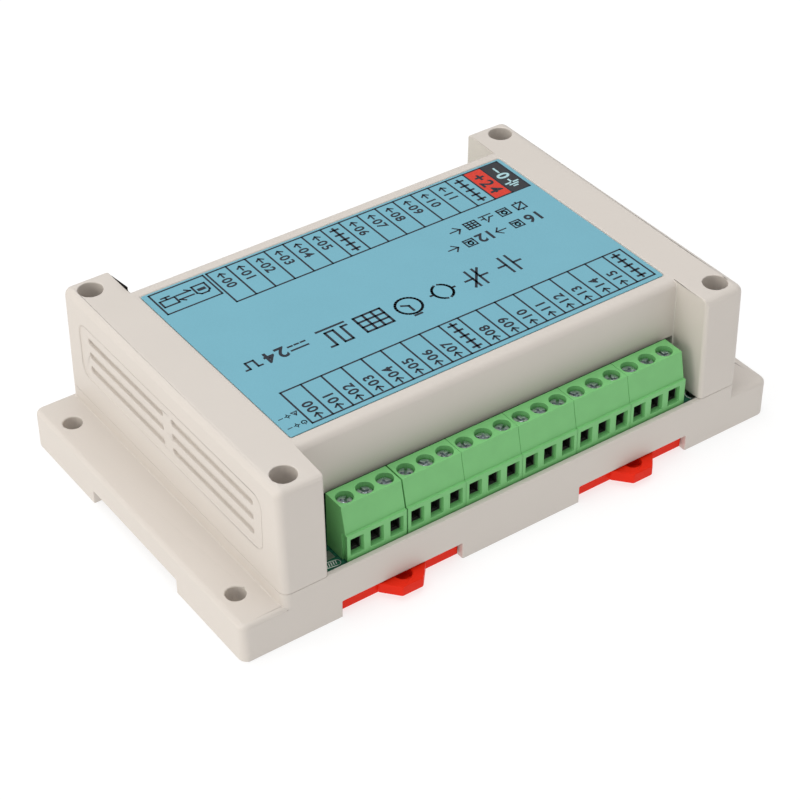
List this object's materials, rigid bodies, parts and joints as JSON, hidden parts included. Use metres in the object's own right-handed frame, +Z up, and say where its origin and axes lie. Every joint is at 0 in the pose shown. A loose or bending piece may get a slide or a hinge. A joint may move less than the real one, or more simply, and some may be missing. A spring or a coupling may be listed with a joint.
{
  "type": "programmable logic controller module",
  "caption": "Rail-mounted controller in a flat two-part housing, with a screw terminal strip along each long side and two sliding rail clips.",
  "frame": {"origin": "middle of the flat at the top of the rail channel, which seats on the rail", "axes": "+X along the housing, +Z up out of the label, rail clips on the -Y side"},
  "size_m": [0.145, 0.0935, 0.0403],
  "materials": {
    "housing_plastic": "fine moulded texture, warm light grey",
    "label_film": "printed film, satin",
    "board_laminate": "solder resist over glass laminate",
    "terminal_plastic": "moulded polyamide, satin",
    "clip_plastic": "moulded, satin",
    "zinc_steel": "zinc plated",
    "socket_steel": "nickel plated sheet",
    "relay_case": "moulded case",
    "chip_case": "moulded resin",
    "can_sleeve": "shrink sleeve over an aluminium can"
  },
  "bodies": {
    "housing": {"base_tray": "housing_plastic", "top_cover": "housing_plastic", "front_label": "label_film", "circuit_board": "board_laminate", "cover_screw_1": "zinc_steel", "cover_screw_2": "zinc_steel", "cover_screw_3": "zinc_steel", "cover_screw_4": "zinc_steel", "input_block_1": "terminal_plastic", "input_block_2": "terminal_plastic", "input_block_3": "terminal_plastic", "input_block_4": "terminal_plastic", "input_block_5": "terminal_plastic", "input_block_6": "terminal_plastic", "output_block_1": "terminal_plastic", "output_block_2": "terminal_plastic", "output_block_3": "terminal_plastic", "output_block_4": "terminal_plastic", "output_block_5": "terminal_plastic", "output_block_6": "terminal_plastic", "usb_socket": "socket_steel", "relay_bank": "relay_case", "controller_chip": "chip_case", "supply_capacitor": "can_sleeve"},
    "rail_clip_left": {"rail_clip_left": "clip_plastic"},
    "rail_clip_right": {"rail_clip_right": "clip_plastic"},
    "input_screw_01": {"input_screw_01": "zinc_steel"},
    "input_screw_02": {"input_screw_02": "zinc_steel"},
    "input_screw_03": {"input_screw_03": "zinc_steel"},
    "input_screw_04": {"input_screw_04": "zinc_steel"},
    "input_screw_05": {"input_screw_05": "zinc_steel"},
    "input_screw_06": {"input_screw_06": "zinc_steel"},
    "input_screw_07": {"input_screw_07": "zinc_steel"},
    "input_screw_08": {"input_screw_08": "zinc_steel"},
    "input_screw_09": {"input_screw_09": "zinc_steel"},
    "input_screw_10": {"input_screw_10": "zinc_steel"},
    "input_screw_11": {"input_screw_11": "zinc_steel"},
    "input_screw_12": {"input_screw_12": "zinc_steel"},
    "input_screw_13": {"input_screw_13": "zinc_steel"},
    "input_screw_14": {"input_screw_14": "zinc_steel"},
    "input_screw_15": {"input_screw_15": "zinc_steel"},
    "input_screw_16": {"input_screw_16": "zinc_steel"},
    "input_screw_17": {"input_screw_17": "zinc_steel"},
    "input_screw_18": {"input_screw_18": "zinc_steel"},
    "output_screw_01": {"output_screw_01": "zinc_steel"},
    "output_screw_02": {"output_screw_02": "zinc_steel"},
    "output_screw_03": {"output_screw_03": "zinc_steel"},
    "output_screw_04": {"output_screw_04": "zinc_steel"},
    "output_screw_05": {"output_screw_05": "zinc_steel"},
    "output_screw_06": {"output_screw_06": "zinc_steel"},
    "output_screw_07": {"output_screw_07": "zinc_steel"},
    "output_screw_08": {"output_screw_08": "zinc_steel"},
    "output_screw_09": {"output_screw_09": "zinc_steel"},
    "output_screw_10": {"output_screw_10": "zinc_steel"},
    "output_screw_11": {"output_screw_11": "zinc_steel"},
    "output_screw_12": {"output_screw_12": "zinc_steel"},
    "output_screw_13": {"output_screw_13": "zinc_steel"},
    "output_screw_14": {"output_screw_14": "zinc_steel"},
    "output_screw_15": {"output_screw_15": "zinc_steel"},
    "output_screw_16": {"output_screw_16": "zinc_steel"}
  },
  "joints": [
    {"name": "rail_clip_left_pull", "type": "slide", "parent": "housing", "child": "rail_clip_left", "axis": [0, -1, 0], "range_m": [0, 0.0035], "stiffness_N_per_m": 600, "springref_m": -0.003},
    {"name": "rail_clip_right_pull", "type": "slide", "parent": "housing", "child": "rail_clip_right", "axis": [0, -1, 0], "range_m": [0, 0.0035], "stiffness_N_per_m": 600, "springref_m": -0.003},
    {"name": "input_screw_01_turn", "type": "hinge", "parent": "housing", "child": "input_screw_01", "pos_m": [-0.04269, -0.03893, 0.0219], "axis": [0, 0, 1], "range_deg": [-1890, 0]},
    {"name": "input_screw_02_turn", "type": "hinge", "parent": "housing", "child": "input_screw_02", "pos_m": [-0.03761, -0.03893, 0.0219], "axis": [0, 0, 1], "range_deg": [-1890, 0]},
    {"name": "input_screw_03_turn", "type": "hinge", "parent": "housing", "child": "input_screw_03", "pos_m": [-0.03253, -0.03893, 0.0219], "axis": [0, 0, 1], "range_deg": [-1890, 0]},
    {"name": "input_screw_04_turn", "type": "hinge", "parent": "housing", "child": "input_screw_04", "pos_m": [-0.02715, -0.03893, 0.0219], "axis": [0, 0, 1], "range_deg": [-1890, 0]},
    {"name": "input_screw_05_turn", "type": "hinge", "parent": "housing", "child": "input_screw_05", "pos_m": [-0.02207, -0.03893, 0.0219], "axis": [0, 0, 1], "range_deg": [-1890, 0]},
    {"name": "input_screw_06_turn", "type": "hinge", "parent": "housing", "child": "input_screw_06", "pos_m": [-0.01699, -0.03893, 0.0219], "axis": [0, 0, 1], "range_deg": [-1890, 0]},
    {"name": "input_screw_07_turn", "type": "hinge", "parent": "housing", "child": "input_screw_07", "pos_m": [-0.01185, -0.03893, 0.0219], "axis": [0, 0, 1], "range_deg": [-1890, 0]},
    {"name": "input_screw_08_turn", "type": "hinge", "parent": "housing", "child": "input_screw_08", "pos_m": [-0.00677, -0.03893, 0.0219], "axis": [0, 0, 1], "range_deg": [-1890, 0]},
    {"name": "input_screw_09_turn", "type": "hinge", "parent": "housing", "child": "input_screw_09", "pos_m": [-0.00169, -0.03893, 0.0219], "axis": [0, 0, 1], "range_deg": [-1890, 0]},
    {"name": "input_screw_10_turn", "type": "hinge", "parent": "housing", "child": "input_screw_10", "pos_m": [0.00345, -0.03893, 0.0219], "axis": [0, 0, 1], "range_deg": [-1890, 0]},
    {"name": "input_screw_11_turn", "type": "hinge", "parent": "housing", "child": "input_screw_11", "pos_m": [0.00853, -0.03893, 0.0219], "axis": [0, 0, 1], "range_deg": [-1890, 0]},
    {"name": "input_screw_12_turn", "type": "hinge", "parent": "housing", "child": "input_screw_12", "pos_m": [0.01361, -0.03893, 0.0219], "axis": [0, 0, 1], "range_deg": [-1890, 0]},
    {"name": "input_screw_13_turn", "type": "hinge", "parent": "housing", "child": "input_screw_13", "pos_m": [0.01875, -0.03893, 0.0219], "axis": [0, 0, 1], "range_deg": [-1890, 0]},
    {"name": "input_screw_14_turn", "type": "hinge", "parent": "housing", "child": "input_screw_14", "pos_m": [0.02383, -0.03893, 0.0219], "axis": [0, 0, 1], "range_deg": [-1890, 0]},
    {"name": "input_screw_15_turn", "type": "hinge", "parent": "housing", "child": "input_screw_15", "pos_m": [0.02891, -0.03893, 0.0219], "axis": [0, 0, 1], "range_deg": [-1890, 0]},
    {"name": "input_screw_16_turn", "type": "hinge", "parent": "housing", "child": "input_screw_16", "pos_m": [0.03405, -0.03893, 0.0219], "axis": [0, 0, 1], "range_deg": [-1890, 0]},
    {"name": "input_screw_17_turn", "type": "hinge", "parent": "housing", "child": "input_screw_17", "pos_m": [0.03913, -0.03893, 0.0219], "axis": [0, 0, 1], "range_deg": [-1890, 0]},
    {"name": "input_screw_18_turn", "type": "hinge", "parent": "housing", "child": "input_screw_18", "pos_m": [0.04421, -0.03893, 0.0219], "axis": [0, 0, 1], "range_deg": [-1890, 0]},
    {"name": "output_screw_01_turn", "type": "hinge", "parent": "housing", "child": "output_screw_01", "pos_m": [0.04421, 0.03893, 0.0219], "axis": [0, 0, 1], "range_deg": [-1890, 0]},
    {"name": "output_screw_02_turn", "type": "hinge", "parent": "housing", "child": "output_screw_02", "pos_m": [0.03913, 0.03893, 0.0219], "axis": [0, 0, 1], "range_deg": [-1890, 0]},
    {"name": "output_screw_03_turn", "type": "hinge", "parent": "housing", "child": "output_screw_03", "pos_m": [0.03375, 0.03893, 0.0219], "axis": [0, 0, 1], "range_deg": [-1890, 0]},
    {"name": "output_screw_04_turn", "type": "hinge", "parent": "housing", "child": "output_screw_04", "pos_m": [0.02867, 0.03893, 0.0219], "axis": [0, 0, 1], "range_deg": [-1890, 0]},
    {"name": "output_screw_05_turn", "type": "hinge", "parent": "housing", "child": "output_screw_05", "pos_m": [0.02359, 0.03893, 0.0219], "axis": [0, 0, 1], "range_deg": [-1890, 0]},
    {"name": "output_screw_06_turn", "type": "hinge", "parent": "housing", "child": "output_screw_06", "pos_m": [0.01845, 0.03893, 0.0219], "axis": [0, 0, 1], "range_deg": [-1890, 0]},
    {"name": "output_screw_07_turn", "type": "hinge", "parent": "housing", "child": "output_screw_07", "pos_m": [0.01337, 0.03893, 0.0219], "axis": [0, 0, 1], "range_deg": [-1890, 0]},
    {"name": "output_screw_08_turn", "type": "hinge", "parent": "housing", "child": "output_screw_08", "pos_m": [0.00829, 0.03893, 0.0219], "axis": [0, 0, 1], "range_deg": [-1890, 0]},
    {"name": "output_screw_09_turn", "type": "hinge", "parent": "housing", "child": "output_screw_09", "pos_m": [0.00315, 0.03893, 0.0219], "axis": [0, 0, 1], "range_deg": [-1890, 0]},
    {"name": "output_screw_10_turn", "type": "hinge", "parent": "housing", "child": "output_screw_10", "pos_m": [-0.00193, 0.03893, 0.0219], "axis": [0, 0, 1], "range_deg": [-1890, 0]},
    {"name": "output_screw_11_turn", "type": "hinge", "parent": "housing", "child": "output_screw_11", "pos_m": [-0.00701, 0.03893, 0.0219], "axis": [0, 0, 1], "range_deg": [-1890, 0]},
    {"name": "output_screw_12_turn", "type": "hinge", "parent": "housing", "child": "output_screw_12", "pos_m": [-0.01215, 0.03893, 0.0219], "axis": [0, 0, 1], "range_deg": [-1890, 0]},
    {"name": "output_screw_13_turn", "type": "hinge", "parent": "housing", "child": "output_screw_13", "pos_m": [-0.01723, 0.03893, 0.0219], "axis": [0, 0, 1], "range_deg": [-1890, 0]},
    {"name": "output_screw_14_turn", "type": "hinge", "parent": "housing", "child": "output_screw_14", "pos_m": [-0.02231, 0.03893, 0.0219], "axis": [0, 0, 1], "range_deg": [-1890, 0]},
    {"name": "output_screw_15_turn", "type": "hinge", "parent": "housing", "child": "output_screw_15", "pos_m": [-0.02745, 0.03893, 0.0219], "axis": [0, 0, 1], "range_deg": [-1890, 0]},
    {"name": "output_screw_16_turn", "type": "hinge", "parent": "housing", "child": "output_screw_16", "pos_m": [-0.03253, 0.03893, 0.0219], "axis": [0, 0, 1], "range_deg": [-1890, 0]}
  ]
}
